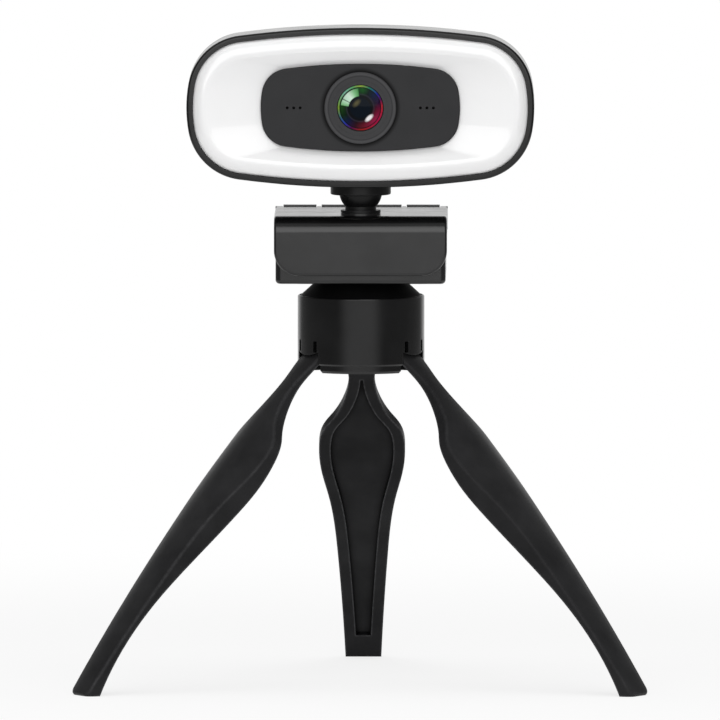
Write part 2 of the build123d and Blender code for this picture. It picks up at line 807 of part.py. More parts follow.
def oval(plane, shape, inset=0.0):
    """Sketch of an oval of eight tangent arcs, drawn in by inset on every side."""
    half_width, half_height, corner_radius = (size - inset for size in shape)
    side_flat = 1 - cos(radians(oval_side_angle))
    side_sine = sin(radians(oval_side_angle))
    top_flat = 1 - sin(radians(oval_top_angle))
    top_sine = cos(radians(oval_top_angle))
    wide = half_width - corner_radius
    tall = half_height - corner_radius
    scale = top_sine * side_sine - side_flat * top_flat
    from_top = (wide * side_sine - tall * side_flat) / scale
    from_side = (tall * top_sine - wide * top_flat) / scale
    top_radius = from_top + corner_radius
    side_radius = from_side + corner_radius
    side_x = half_width - side_radius
    top_y = half_height - top_radius
    corner_x = from_top * top_sine
    corner_y = from_side * side_sine
    turn = oval_top_angle - oval_side_angle
    with BuildSketch(plane) as outline:
        with BuildLine():
            CenterArc((side_x, 0), side_radius, -oval_side_angle, 2 * oval_side_angle)
            CenterArc((corner_x, corner_y), corner_radius, oval_side_angle, turn)
            CenterArc((0, top_y), top_radius, oval_top_angle, 180 - 2 * oval_top_angle)
            CenterArc((-corner_x, corner_y), corner_radius, 180 - oval_top_angle, turn)
            CenterArc((-side_x, 0), side_radius, 180 - oval_side_angle, 2 * oval_side_angle)
            CenterArc((-corner_x, -corner_y), corner_radius, 180 + oval_side_angle, turn)
            CenterArc((0, -top_y), top_radius, 180 + oval_top_angle, 180 - 2 * oval_top_angle)
            CenterArc((corner_x, -corner_y), corner_radius, 360 - oval_top_angle, turn)
        make_face()
    return outline.sketch


# Depths behind the rim at which the layers of the head meet
ledge_front = bezel_depth - ledge_depth
board_front = bezel_depth
frame_front = board_front + led_board_thickness
frame_back = frame_front + frame_thickness
camera_board_front = camera_board_depth
back_inside = head_depth - housing_wall
panel_front = -panel_proud
panel_back = panel_front + panel_thickness
ring_front = panel_front - lens_ring_proud
barrel_front = ring_front + lens_ring_lip + seat_gap
stack_inset = housing_wall + bezel_tongue_wall + 2 * seat_gap
boss_places = [(x, z) for x in (-boss_x, boss_x) for z in (-boss_z, boss_z)]
post_places = [(-board_post_x, 0), (board_post_x, 0)]
screw_head_depth = head_depth - housing_screw_sink
mic_places = [(-sound_hole_x, 0), (sound_hole_x, 0)]

# The socket's cylinder rises through the floor of the head: what stands in its way is cut round it
with BuildPart() as socket_room:
    with BuildSketch(level(socket_bottom, neck_y)):
        Circle(socket_radius + fold_gap)
        Rectangle(socket_ear_width + 2 * fold_gap, socket_ear_depth + 2 * fold_gap)
    extrude(amount=socket_top + fold_gap - socket_bottom)

with BuildPart() as housing_core:
    extrude(oval(face_at(bezel_depth), HEAD, housing_wall), amount=bezel_depth - back_inside)
    fillet(housing_core.faces().sort_by(Axis.Y)[-1].edges(), housing_round - housing_wall)

with BuildPart() as rear_housing:
    extrude(oval(face_at(bezel_depth), HEAD), amount=-housing_depth)
    fillet(rear_housing.faces().sort_by(Axis.Y)[-1].edges(), housing_round)
    add(housing_core.part, mode=Mode.SUBTRACT)
    with BuildSketch(face_at(frame_back)):
        with Locations(*boss_places):
            Circle(boss_radius)
    extrude(amount=frame_back - back_inside)
    with BuildSketch(face_at(frame_back)):
        with Locations(*boss_places):
            Circle(housing_screw_radius + seat_gap)
    extrude(amount=frame_back - head_depth, mode=Mode.SUBTRACT)
    with BuildSketch(face_at(screw_head_depth)):
        with Locations(*boss_places):
            Circle(housing_screw_head_radius + seat_gap)
    extrude(amount=-housing_screw_sink, mode=Mode.SUBTRACT)
    with BuildSketch(face_at(back_inside - gland_lip)):
        with Locations((0, -gland_drop)):
            Circle(gland_radius)
    extrude(amount=-housing_wall - 2 * gland_lip, mode=Mode.SUBTRACT)
    with BuildSketch(level(socket_bottom, neck_y)):
        Circle(socket_radius + seat_gap)
    extrude(amount=socket_top + fold_gap - socket_bottom, mode=Mode.SUBTRACT)
save(rear_housing, "rear_housing")

with BuildPart() as cable_gland:
    with BuildSketch(face_at(head_depth)):
        with Locations((0, -gland_drop)):
            Circle(gland_flange_radius)
    extrude(amount=-gland_flange)
    fillet(cable_gland.edges().group_by(Axis.Y)[-1], gland_flange / 2)
    with BuildSketch(face_at(head_depth)):
        with Locations((0, -gland_drop)):
            Circle(gland_radius)
    extrude(amount=housing_wall)
    with BuildSketch(face_at(back_inside)):
        with Locations((0, -gland_drop)):
            Circle(gland_flange_radius)
    extrude(amount=gland_lip)
    with BuildSketch(face_at(0)):
        with Locations((0, -gland_drop)):
            Circle(gland_bore)
    extrude(amount=-2 * head_depth, mode=Mode.SUBTRACT)
save(cable_gland, "cable_gland")

with BuildPart() as housing_screws:
    with BuildSketch(face_at(screw_head_depth)):
        with Locations(*boss_places):
            Circle(housing_screw_head_radius)
    extrude(amount=-housing_screw_head)
    with BuildSketch(face_at(screw_head_depth)):
        with Locations(*boss_places):
            Circle(housing_screw_radius)
    extrude(amount=screw_head_depth - (frame_front + frame_back) / 2)
save(housing_screws, "housing_screws")

with BuildPart() as front_bezel:
    extrude(oval(face_at(0), HEAD), amount=-bezel_depth)
    fillet(front_bezel.faces().sort_by(Axis.Y)[0].edges(), rim_round)
    extrude(oval(face_at(0), HEAD, rim_width), amount=-ledge_front, mode=Mode.SUBTRACT)
    extrude(oval(face_at(0), HEAD, rim_width + ledge_width), amount=-bezel_depth, mode=Mode.SUBTRACT)
    extrude(oval(face_at(bezel_depth), HEAD, housing_wall + seat_gap), amount=-bezel_tongue)
    tongue_inside = oval(face_at(bezel_depth), HEAD, stack_inset - seat_gap)
    extrude(tongue_inside, amount=-bezel_tongue, mode=Mode.SUBTRACT)
    add(socket_room.part, mode=Mode.SUBTRACT)
save(front_bezel, "front_bezel")

with BuildPart() as light_diffuser:
    brim = rim_width + seat_gap
    extrude(oval(face_at(ledge_front), HEAD, brim), amount=ledge_front - diffuser_edge)
    loft(
        [
            oval(face_at(diffuser_edge), HEAD, brim).face(),
            oval(face_at(-shoulder_turn_rise), HEAD, brim + shoulder_turn_width).face(),
            oval(face_at(-shoulder_rise), HEAD, brim + shoulder_width).face(),
        ]
    )
    loft(
        [
            oval(face_at(-shoulder_rise), HEAD, brim + shoulder_width + seat_gap).face(),
            oval(face_at(diffuser_dish), PANEL, -seat_gap).face(),
        ],
        ruled=True,
        mode=Mode.SUBTRACT,
    )
    extrude(oval(face_at(-shoulder_rise), PANEL, -seat_gap), amount=-bezel_depth, mode=Mode.SUBTRACT)
save(light_diffuser, "light_diffuser")

with BuildPart() as led_board:
    extrude(oval(face_at(board_front), HEAD, stack_inset), amount=-led_board_thickness)
    extrude(oval(face_at(board_front), PANEL, -leg_gap), amount=-led_board_thickness, mode=Mode.SUBTRACT)
    add(socket_room.part, mode=Mode.SUBTRACT)
save(led_board, "led_board")

# The diodes stand evenly round the board, midway between the lens panel and the ledge of the rim
LED_PATH = tuple((head + panel - rim_width - ledge_width) / 2 for head, panel in zip(HEAD, PANEL))
led_line = oval(face_at(board_front), LED_PATH).face().outer_wire()
with BuildPart() as leds:
    for led in range(led_count):
        spot = led_line.position_at(led / led_count)
        heading = led_line.tangent_at(led / led_count)
        with BuildSketch(Plane(spot, x_dir=heading, z_dir=(0, -1, 0))):
            Rectangle(led_length, led_width)
        extrude(amount=led_height)
save(leds, "leds")

with BuildPart() as front_frame:
    extrude(oval(face_at(frame_front), HEAD, stack_inset), amount=-frame_thickness)
    with BuildSketch(face_at(frame_front)):
        Circle(barrel_radius + fold_gap)
    extrude(amount=-frame_thickness, mode=Mode.SUBTRACT)
    with BuildSketch(face_at(frame_back)):
        with Locations(*boss_places):
            Circle(housing_screw_radius)
    extrude(amount=frame_thickness / 2, mode=Mode.SUBTRACT)
    with BuildSketch(face_at(frame_back)):
        with Locations(*post_places):
            Circle(board_post_radius)
    extrude(amount=frame_back - camera_board_front)
    with BuildSketch(face_at(camera_board_front)):
        with Locations(*post_places):
            Circle(board_screw_radius)
    extrude(amount=board_screw_length - camera_board_thickness, mode=Mode.SUBTRACT)
    add(socket_room.part, mode=Mode.SUBTRACT)
save(front_frame, "front_frame")

with BuildPart() as lens_panel:
    extrude(oval(face_at(panel_front), PANEL), amount=panel_front - frame_front)
    fillet(lens_panel.faces().sort_by(Axis.Y)[0].edges(), panel_round)
    panel_inside = oval(face_at(panel_back), PANEL, panel_wall)
    extrude(panel_inside, amount=panel_back - frame_front, mode=Mode.SUBTRACT)
    with BuildSketch(face_at(panel_back)):
        with Locations(*mic_places):
            Circle(mic_radius + seat_gap + mic_collar)
    extrude(amount=-mic_depth)
    with BuildSketch(face_at(panel_back)):
        with Locations(*mic_places):
            Circle(mic_radius + seat_gap)
    extrude(amount=-mic_depth, mode=Mode.SUBTRACT)
    with BuildSketch(face_at(panel_front)):
        Circle(lens_spigot_radius + seat_gap)
        with Locations(*mic_places):
            with GridLocations(sound_hole_pitch, 1, 3, 1):
                Circle(sound_hole_radius)
    extrude(amount=-panel_thickness, mode=Mode.SUBTRACT)
save(lens_panel, "lens_panel")

with BuildPart() as microphones:
    with BuildSketch(face_at(panel_back)):
        with Locations(*mic_places):
            Circle(mic_radius)
    extrude(amount=-mic_depth)
save(microphones, "microphones")

with BuildPart() as lens_ring:
    with BuildSketch(face_at(ring_front)):
        Circle(lens_ring_radius)
    extrude(amount=-lens_ring_proud)
    fillet(lens_ring.edges().group_by(Axis.Y)[0], lens_ring_round)
    with BuildSketch(face_at(ring_front)):
        Circle(lens_ring_land)
    extrude(amount=-lens_ring_step_height, mode=Mode.SUBTRACT)
    with BuildSketch(face_at(panel_front)):
        Circle(lens_spigot_radius)
    extrude(amount=-panel_thickness)
    with BuildSketch(face_at(ring_front)):
        Circle(lens_ring_bore)
    extrude(amount=-lens_ring_lip, mode=Mode.SUBTRACT)
    with BuildSketch(face_at(ring_front + lens_ring_lip)):
        Circle(barrel_radius + seat_gap)
    extrude(amount=-lens_ring_proud - panel_thickness, mode=Mode.SUBTRACT)
save(lens_ring, "lens_ring")

aperture_front = barrel_front + inner_element_depth
inner_front = aperture_front + aperture_thickness
barrel_back = barrel_front + barrel_depth
optic_axis = Axis((0, hub_y, head_height), (0, 1, 0))


def optic_section(depth):
    """Upright plane through the optical axis, seen from the left: out from the axis, then forward."""
    return Plane((0, hub_y + head_front + depth, head_height), x_dir=(0, 0, 1), z_dir=(1, 0, 0))


with BuildPart() as lens_barrel:
    with BuildSketch(face_at(barrel_front)):
        Circle(barrel_radius)
    extrude(amount=-barrel_depth)
    with BuildSketch(face_at(barrel_front)):
        Circle(element_radius + run_gap)
    extrude(amount=-element_edge, mode=Mode.SUBTRACT)
    with BuildSketch(face_at(barrel_front)):
        Circle(inner_element_radius + run_gap)
    extrude(amount=-barrel_depth, mode=Mode.SUBTRACT)
save(lens_barrel, "lens_barrel")


def lens_solid(depth, radius, edge, crown):
    """Glass element: flat back, straight edge and a domed front, turned about the optical axis."""
    with BuildPart() as glass:
        with BuildSketch(optic_section(depth)):
            with BuildLine():
                rim = Polyline((0, -edge), (radius, -edge), (radius, 0))
                dome = (radius**2 + crown**2) / (2 * crown)
                RadiusArc(rim @ 1, (0, crown), -dome)
                Line((0, crown), (0, -edge))
            make_face()
        revolve(axis=optic_axis)
    return glass


save(lens_solid(barrel_front, element_radius, element_edge, element_crown), "front_element")
inner_edge_front = inner_front + inner_element_crown
inner_lens = lens_solid(inner_edge_front, inner_element_radius, inner_element_edge, inner_element_crown)
save(inner_lens, "inner_element")

with BuildPart() as aperture_ring:
    with BuildSketch(face_at(aperture_front)):
        Circle(inner_element_radius)
        Circle(aperture_radius, mode=Mode.SUBTRACT)
    extrude(amount=-aperture_thickness)
save(aperture_ring, "aperture_ring")

holder_front = camera_board_front - holder_base
with BuildPart() as lens_holder:
    with BuildSketch(face_at(holder_front)):
        RectangleRounded(holder_square, holder_square, holder_wall)
    extrude(amount=-holder_base)
    with BuildSketch(face_at(holder_front)):
        Circle(barrel_radius + seat_gap + holder_wall)
    extrude(amount=holder_tube)
    with BuildSketch(face_at(holder_front - holder_tube)):
        Circle(barrel_radius + seat_gap)
    extrude(amount=holder_front - holder_tube - barrel_back, mode=Mode.SUBTRACT)
    with BuildSketch(face_at(barrel_back)):
        Rectangle(filter_square + 2 * seat_gap, filter_square + 2 * seat_gap)
    extrude(amount=-holder_square, mode=Mode.SUBTRACT)
save(lens_holder, "lens_holder")

with BuildPart() as filter_glass:
    with BuildSketch(face_at(barrel_back)):
        Rectangle(filter_square, filter_square)
    extrude(amount=-filter_thickness)
save(filter_glass, "filter_glass")

with BuildPart() as image_sensor:
    with BuildSketch(face_at(camera_board_front)):
        Rectangle(sensor_square, sensor_square)
    extrude(amount=sensor_thickness)
save(image_sensor, "image_sensor")

with BuildPart() as camera_board:
    with BuildSketch(face_at(camera_board_front)):
        RectangleRounded(camera_board_width, camera_board_height, holder_wall)
        with Locations(*post_places):
            Circle(board_screw_radius + seat_gap, mode=Mode.SUBTRACT)
    extrude(amount=-camera_board_thickness)
save(camera_board, "camera_board")

camera_board_back = camera_board_front + camera_board_thickness
with BuildPart() as board_screws:
    with BuildSketch(face_at(camera_board_back)):
        with Locations(*post_places):
            Circle(board_screw_head_radius)
    extrude(amount=-board_screw_head)
    with BuildSketch(face_at(camera_board_back)):
        with Locations(*post_places):
            Circle(board_screw_radius)
    extrude(amount=board_screw_length)
save(board_screws, "board_screws")

with BuildPart() as board_connector:
    with BuildSketch(face_at(camera_board_back)):
        with Locations((0, connector_rise)):
            Rectangle(connector_width, connector_height)
    extrude(amount=-connector_depth)
save(board_connector, "board_connector")
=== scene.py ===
import math

import bpy
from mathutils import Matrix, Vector


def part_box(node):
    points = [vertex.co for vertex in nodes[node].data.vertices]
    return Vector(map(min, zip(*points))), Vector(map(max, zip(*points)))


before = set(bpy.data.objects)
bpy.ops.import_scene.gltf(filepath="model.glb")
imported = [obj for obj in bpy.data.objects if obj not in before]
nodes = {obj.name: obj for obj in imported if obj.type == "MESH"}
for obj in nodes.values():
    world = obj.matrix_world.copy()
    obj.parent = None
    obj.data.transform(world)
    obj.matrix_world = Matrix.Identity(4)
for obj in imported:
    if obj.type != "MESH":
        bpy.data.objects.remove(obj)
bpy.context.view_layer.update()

# Lengths are in metres, angles in degrees and colours linear, unless a name says otherwise.

# The camera has the photograph's view: nearly parallel, a little above the table and a hair to the right.
PICTURE_WIDTH = 0.1784
CAMERA_ELEVATION = 4.2
CAMERA_AZIMUTH = 0.45
CAMERA_REACH = 42.0  # distance as a multiple of the picture's width
CAMERA_HEIGHT = 0.0822  # of the picture's middle, in the plane of the head's front
CAMERA_ASIDE = -0.00007  # of the picture's middle
CAMERA_SENSOR_MM = 36.0

FLOOR_RADIUS = 0.55
FLOOR_CORNERS = 96
FLOOR_PAINT = 0.94
FLOOR_WHITE = 0.78  # how far the floor near the object is plain white to the eye, which thins its shadow
FLOOR_WHITENS = (0.10, 0.42)  # distances from the middle between which it turns fully white

ROOM_LIGHT = 0.26  # what matt surfaces get from the world
SIDE_GLOSS = 0.25  # what glossy surfaces see at the sides
CEILING_GLOSS = 0.6  # and overhead
FRONT_REACH = (0.72, 0.96)  # how far a direction points to the front or back as the sides give way to white
CEILING_REACH = (0.45, 0.95)  # how far it points up as the ceiling comes in

SOFTBOXES = {  # place, aim, width and height, watts, whether gloss shows it
    "overhead": ((0, -0.15, 1.1), (0, 0, 0.05), (1.0, 0.8), 6.6, False),
    "key": ((0, -0.98, 0.48), (0, -0.03, 0.13), (1.1, 0.76), 4.5, True),
    "fill": ((0, -1.0, 0.11), (0, -0.03, 0.13), (1.4, 0.16), 1.0, False),
}

SHARP_ANGLE = math.radians(28)
WELD_DISTANCE = 2e-6

MOTTLE_SIZE = 0.009
DUST_SIZE = 0.0011
ROUGHNESS_SPREAD = 0.04
CORNER_SHADE = 0.15  # share of its own grey that black plastic keeps in corners, as painted shade
EDGE_COSINES = (0.995, 0.85)  # of true and rounded normals, from a flat to a fully paler edge, worn and with a painted sheen
GLASS_IOR = 1.5
COATING_IOR = 1.38
TRACKS_PER_METRE = 420.0

# Distances from the lens axis, in millimetres, between which a colour comes in or a band lies.
MM = 1000
PUPIL_EDGE = (2.35, 2.65)
ARCS_RISE = (3.0, 4.6)
WINDOW_REFLECTION_BAND = (2.95, 4.85)
BARREL_BAND = (3.25, 3.5)
GAP_BAND = (4.98, 5.18)
RIM_EDGE = (5.12, 5.28)
# Painted groove shade and painted bevel highlight on the lens ring.
RING_GROOVE_SHADE = (7.85, 8.0)
RING_HIGHLIGHT_BAND = (8.15, 8.7)
# Painted shade on the panel round the foot of the lens ring.
RING_SHADE_SPAN = (8.9, 10.3)

# Painted reflection colours of the lens coatings by angle, anticlockwise from the right-hand side, in order
# from the left.
RIM_REFLECTION_COLOURS = (
    (180, (0.26, 0.42, 0.04)),
    (205, (0.05, 0.16, 0.20)),
    (225, (0.03, 0.05, 0.46)),
    (246, (0.10, 0.01, 0.09)),
    (270, (0.40, 0.03, 0.02)),
    (325, (0.50, 0.01, 0.08)),
    (5, (0.56, 0.03, 0.04)),
    (22, (0.10, 0.01, 0.10)),
    (40, (0.02, 0.03, 0.38)),
    (66, (0.03, 0.26, 0.16)),
    (90, (0.40, 0.56, 0.07)),
    (112, (0.14, 0.50, 0.20)),
    (135, (0.30, 0.66, 0.50)),
    (160, (0.20, 0.46, 0.16)),
)
ARC_REFLECTION_COLOURS = (
    (180, (0.01, 0.05, 0.008)),
    (205, (0.004, 0.02, 0.006)),
    (230, (0.004, 0.008, 0.05)),
    (255, (0.03, 0.004, 0.012)),
    (280, (0.14, 0.008, 0.02)),
    (320, (0.30, 0.012, 0.06)),
    (350, (0.16, 0.006, 0.03)),
    (15, (0.02, 0.004, 0.03)),
    (40, (0.004, 0.01, 0.05)),
    (62, (0.003, 0.012, 0.012)),
    (82, (0.006, 0.09, 0.012)),
    (100, (0.004, 0.05, 0.01)),
)
WINDOW_REFLECTION_COLOURS = (  # a painted window reflection, with a glazing bar at 153 degrees
    (95, (0.05, 0.24, 0.06)),
    (112, (0.22, 0.52, 0.24)),
    (132, (0.62, 0.80, 0.66)),
    (150, (0.50, 0.74, 0.56)),
    (153, (0.03, 0.06, 0.03)),
    (156, (0.46, 0.70, 0.50)),
    (172, (0.16, 0.44, 0.16)),
)
WINDOW_REFLECTION_SIDES = (96, 172)
RAMP_END = 0.999


def rgb(red, green, blue):
    return (red, green, blue, 1.0)


def grey(level):
    """The faintly cool grey of black plastic."""
    return rgb(level, level, level * 1.04)


def even_grey(level):
    return rgb(level, level, level)


def shaded(colour, share):
    return rgb(*(channel * share for channel in colour))


def turn(degrees):
    """An angle as a share of the way round from -180 to 180."""
    return ((degrees + 180) % 360) / 360


class Nodes:
    """A node tree and the few kinds of node that the finishes and the stage are made from."""

    def __init__(self, tree):
        self.tree = tree

    def add(self, kind, inputs=None, **settings):
        node = self.tree.nodes.new(kind)
        for key, value in settings.items():
            setattr(node, key, value)
        for key, value in (inputs or {}).items():
            self.feed(node.inputs[key], value)
        return node

    def feed(self, socket, value):
        if isinstance(value, bpy.types.NodeSocket):
            self.tree.links.new(value, socket)
        else:
            socket.default_value = value

    def math(self, operation, a, b=0.0):
        return self.add("ShaderNodeMath", {0: a, 1: b}, operation=operation).outputs[0]

    def most(self, first, *others):
        """The largest of several values."""
        for other in others:
            first = self.math("MAXIMUM", first, other)
        return first

    def vector(self, operation, a, b=(0, 0, 0), output="Vector"):
        return self.add("ShaderNodeVectorMath", {0: a, 1: b}, operation=operation).outputs[output]

    def span(self, value, low, high, start=0.0, end=1.0, shape="LINEAR"):
        """value, taken from low..high to start..end and held there."""
        inputs = {"Value": value, "From Min": low, "From Max": high, "To Min": start, "To Max": end}
        return self.add("ShaderNodeMapRange", inputs, interpolation_type=shape).outputs["Result"]

    def band(self, value, low, high, soft):
        """1 between low and high, and 0 outside them, with soft borders."""
        rise = self.span(value, low - soft, low + soft)
        fall = self.span(value, high - soft, high + soft, 1.0, 0.0)
        return self.math("MULTIPLY", rise, fall)

    def mix(self, share, a, b):
        """From colour a to colour b, whose sockets in a Mix node are 6 and 7, with the result in 2."""
        return self.add("ShaderNodeMix", {0: share, 6: a, 7: b}, data_type="RGBA").outputs[2]

    def ramp(self, value, stops):
        """The colour at value, from (position, colour) pairs in rising order."""
        node = self.add("ShaderNodeValToRGB", {"Fac": value})
        elements = node.color_ramp.elements
        while len(elements) < len(stops):
            elements.new(0.5)
        for element, (position, colour) in zip(elements, stops):
            element.position = position
            element.color = rgb(*colour)
        return node.outputs["Color"]

    def colour_round(self, share, colours, closed=True):
        """The colour at a share of the way round, where a closed ring ends in its first colour."""
        stops = [(turn(angle), colour) for angle, colour in colours]
        if closed:
            stops.append((RAMP_END, colours[0][1]))
        return self.ramp(share, stops)


class Finish(Nodes):
    """One material of the object."""

    def __init__(self, name):
        self.material = bpy.data.materials.new(name)
        self.material.use_nodes = True
        super().__init__(self.material.node_tree)
        self.surface = self.tree.nodes["Principled BSDF"]
        self.place = self.add("ShaderNodeTexCoord").outputs["Object"]

    def set(self, **values):
        for key, value in values.items():
            self.feed(self.surface.inputs[key.replace("_", " ")], value)

    def noise(self, size, detail=2.0):
        """Noise from 0 to 1 whose blobs are about size metres across."""
        inputs = {"Vector": self.place, "Scale": 1 / size, "Detail": detail}
        return self.add("ShaderNodeTexNoise", inputs).outputs["Fac"]

    def bump(self, height, depth):
        inputs = {"Height": height, "Distance": depth, "Strength": 1.0}
        self.set(Normal=self.add("ShaderNodeBump", inputs).outputs["Normal"])

    def edges(self, radius):
        """1 along edges, 0 on flats: where edges show worn and get a painted sheen."""
        soft = self.add("ShaderNodeBevel", {"Radius": radius}, samples=4).outputs["Normal"]
        true = self.add("ShaderNodeNewGeometry").outputs["Normal"]
        return self.span(self.vector("DOT_PRODUCT", soft, true, "Value"), *EDGE_COSINES)

    def openness(self, distance):
        """1 on open surfaces, less in corners of the same piece."""
        inputs = {"Distance": distance}
        corner = self.add("ShaderNodeAmbientOcclusion", inputs, samples=8, only_local=True)
        return corner.outputs["AO"]

    def round_the_lens(self):
        """A point's place across the lens axis and its distance from the axis, in millimetres."""
        low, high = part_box("front_element")
        local = self.vector("SUBTRACT", self.place, (low + high) / 2)
        flat = self.vector("MULTIPLY", local, (MM, 0, MM))
        return flat, self.vector("LENGTH", flat, output="Value")


def moulded_plastic(name, level, roughness, gloss=0.5, grain=0.0003, depth=0.000004, wear_and_sheen=0.012,
                    edge=0.0004, mottling=0.22, hollow=0.0, shade=None):
    """Black moulded plastic: spark-eroded grain, faint mottling, edges paler (worn, and a painted edge
    sheen) and painted shade in its own hollows.
    """
    finish = Finish(name)
    mottle = finish.noise(MOTTLE_SIZE, detail=4)
    dust = finish.noise(DUST_SIZE, detail=3)
    darker, paler = grey(level * (1 - mottling)), grey(level * (1 + mottling))
    base = finish.mix(finish.span(mottle, 0.3, 0.7), darker, paler)
    if shade:
        base = shade(finish, base, level)
    # Paler edges: partly worn, partly a painted highlight; on the legs mostly a painted sheen.
    rub_and_sheen = finish.math("MULTIPLY", finish.edges(edge), finish.span(dust, 0.35, 0.65, 0.4, 1.0))
    # Painted shade: darker in the piece's own corners and recesses, by ambient occlusion.
    if hollow:
        reach = finish.openness(hollow)
        base = finish.mix(finish.span(reach, 0.55, 0.95), grey(level * CORNER_SHADE), base)
        rub_and_sheen = finish.math("MULTIPLY", rub_and_sheen, finish.span(reach, 0.8, 0.98))
    finish.set(Base_Color=finish.mix(rub_and_sheen, base, grey(level + wear_and_sheen)), Specular_IOR_Level=gloss)
    smooth, rough = roughness - ROUGHNESS_SPREAD, roughness + ROUGHNESS_SPREAD
    finish.set(Roughness=finish.span(mottle, 0.25, 0.75, smooth, rough))
    finish.bump(finish.noise(grain, detail=1), depth)
    return finish.material


def painted_ring_shade(finish, base, level):
    """The panel is painted darker, as shade, round the corner where the lens ring stands on it."""
    radius = finish.round_the_lens()[1]
    return finish.mix(finish.span(radius, *RING_SHADE_SPAN, shape="SMOOTHSTEP"), grey(level * CORNER_SHADE), base)


def painted_ring_bevel(finish, base, level):
    """The lens ring's border is painted brighter, as a highlight on its bevel, with a fine dark line of
    painted groove shade inside it.
    """
    radius = finish.round_the_lens()[1]
    border = finish.mix(finish.band(radius, *RING_HIGHLIGHT_BAND, 0.15), base, grey(level * 1.35))
    return finish.mix(finish.band(radius, *RING_GROOVE_SHADE, 0.12), border, grey(level * 0.55))


def soft_rubber(name):
    """Matt rubber with a fine stipple and a bloom of dust."""
    finish = Finish(name)
    bloom = finish.noise(0.004, detail=5)
    finish.set(Base_Color=finish.mix(finish.span(bloom, 0.35, 0.75), grey(0.008), grey(0.02)))
    finish.set(Roughness=finish.span(bloom, 0.3, 0.7, 0.68, 0.86), Specular_IOR_Level=0.3)
    finish.bump(finish.noise(0.0002, detail=2), 0.00001)
    return finish.material


def metal(name, colour, roughness):
    """Plated or turned metal with fine tool marks and slight tarnish."""
    finish = Finish(name)
    tarnish = finish.noise(0.0015, detail=4)
    bright, dull = rgb(*colour), shaded(colour, 0.7)
    finish.set(Base_Color=finish.mix(finish.span(tarnish, 0.35, 0.7), bright, dull))
    finish.set(Roughness=finish.span(tarnish, 0.3, 0.7, roughness, roughness + 0.14), Metallic=1.0)
    finish.bump(finish.noise(0.00008, detail=1), 0.000002)
    return finish.material


def milky_plastic(name):
    """The light ring's diffuser: faintly clouded opal plastic under a clear gloss."""
    finish = Finish(name)
    cloud = finish.noise(0.012, detail=3)
    finish.set(Base_Color=finish.mix(cloud, rgb(0.88, 0.88, 0.885), even_grey(0.9)))
    finish.set(Roughness=finish.span(cloud, 0.0, 1.0, 0.2, 0.3))
    finish.set(Coat_Weight=1.0, Coat_Roughness=0.03)
    return finish.material


def clear_glass(name, tint, film):
    """Coated glass: the film, in nanometres, tints what it reflects, and wiping left it a trace uneven."""
    finish = Finish(name)
    wiped = finish.noise(0.002, detail=3)
    finish.set(Base_Color=rgb(*tint), Transmission_Weight=1.0, IOR=GLASS_IOR)
    finish.set(Roughness=finish.span(wiped, 0.4, 0.8, 0.0, 0.02))
    finish.set(Thin_Film_Thickness=film, Thin_Film_IOR=COATING_IOR)
    return finish.material


